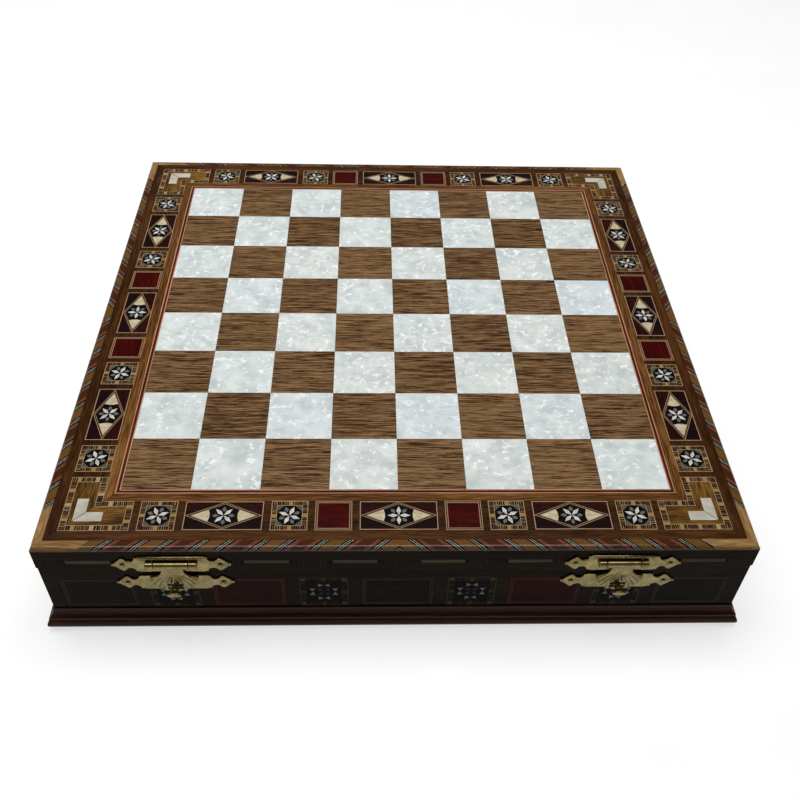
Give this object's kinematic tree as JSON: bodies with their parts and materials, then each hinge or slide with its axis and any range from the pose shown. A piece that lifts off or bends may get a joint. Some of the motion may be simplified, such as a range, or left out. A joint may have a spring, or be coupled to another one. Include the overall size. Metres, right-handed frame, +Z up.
{
  "type": "chess set",
  "caption": "Inlaid chess board as the hinged lid of a flat storage box with two hasps, chessmen lying in lined cells inside.",
  "frame": {"origin": "centre of the square footprint, on the surface that the box stands on", "axes": "+Z up, out of the board; -Y towards the player at the hasps' side; +X to that player's right"},
  "size_m": [0.4136, 0.4183, 0.074],
  "materials": {
    "walnut": "gloss lacquer over straight-grained walnut",
    "walnut_dark": "gloss lacquer over dark walnut veneer",
    "walnut_red": "gloss lacquer over red-brown walnut",
    "plywood": "bare plywood",
    "maple": "gloss lacquer over pale maple",
    "redwood": "gloss lacquer over dyed red veneer",
    "ebony": "gloss lacquer over black-green dyed veneer",
    "marquetry": "gloss lacquer over a mosaic of white, black, yellow and green slips",
    "rope_inlay": "gloss lacquer over slanted strips of dyed veneer",
    "pearl": "polished pearl-like sheet",
    "velvet": "short red velvet",
    "brass": "pressed pale brass, lightly tarnished",
    "boxwood": "satin lacquer over turned boxwood",
    "rosewood": "satin lacquer over turned dark wood"
  },
  "bodies": {
    "box": {"bottom_panel": "plywood", "front_board": "walnut_dark", "back_board": "walnut_dark", "left_board": "walnut_dark", "right_board": "walnut_dark", "base_moulding": "walnut_red", "side_star_tiles": "marquetry", "side_red_panels": "redwood", "side_dark_panels": "ebony", "tray_lining": "velvet", "long_dividers": "velvet", "cross_dividers": "velvet", "lower_plate_left": "brass", "lower_plate_right": "brass", "lower_plate_pins": "brass", "hinge_box_leaves": "brass", "hinge_box_screws": "brass", "hinge_pins": "brass", "light_king": "boxwood", "light_queen": "boxwood", "light_bishops": "boxwood", "light_knights": "boxwood", "light_rooks": "boxwood", "light_pawns": "boxwood", "dark_king": "rosewood", "dark_queen": "rosewood", "dark_bishops": "rosewood", "dark_knights": "rosewood", "dark_rooks": "rosewood", "dark_pawns": "rosewood"},
    "lid": {"lid_panel": "plywood", "lid_rail_front": "walnut_dark", "lid_rail_back": "walnut_dark", "lid_rail_left": "walnut_dark", "lid_rail_right": "walnut_dark", "light_squares": "pearl", "dark_squares": "walnut", "light_lines": "maple", "red_lines": "redwood", "border_strips": "walnut_dark", "star_tiles": "marquetry", "diamond_tiles": "marquetry", "red_tiles": "redwood", "corner_tiles": "marquetry", "rope_banding": "rope_inlay", "rope_corners": "maple", "edge_light_bars": "maple", "edge_tick_bars": "rope_inlay", "lid_lining": "velvet", "upper_plate_left": "brass", "upper_plate_right": "brass", "upper_plate_pins": "brass", "hasp_rods": "brass", "hinge_lid_leaves": "brass", "hinge_lid_screws": "brass"},
    "flap_left": {"flap_left": "brass"},
    "flap_right": {"flap_right": "brass"},
    "knob_left": {"turn_knob_left": "brass"},
    "knob_right": {"turn_knob_right": "brass"}
  },
  "joints": [
    {"name": "lid_hinge", "type": "hinge", "parent": "box", "child": "lid", "pos_m": [0, 0.2045, 0.0565], "axis": [-1, 0, 0], "range_deg": [0, 100]},
    {"name": "flap_left_hinge", "type": "hinge", "parent": "lid", "child": "flap_left", "pos_m": [-0.1265, -0.2044, 0.062], "axis": [-1, 0, 0], "range_deg": [0, 150]},
    {"name": "flap_right_hinge", "type": "hinge", "parent": "lid", "child": "flap_right", "pos_m": [0.1265, -0.2044, 0.062], "axis": [-1, 0, 0], "range_deg": [0, 150]},
    {"name": "knob_left_turn", "type": "hinge", "parent": "box", "child": "knob_left", "pos_m": [-0.1265, -0.2015, 0.0425], "axis": [0, -1, 0], "range_deg": [0, 90]},
    {"name": "knob_right_turn", "type": "hinge", "parent": "box", "child": "knob_right", "pos_m": [0.1265, -0.2015, 0.0425], "axis": [0, -1, 0], "range_deg": [0, 90]}
  ]
}
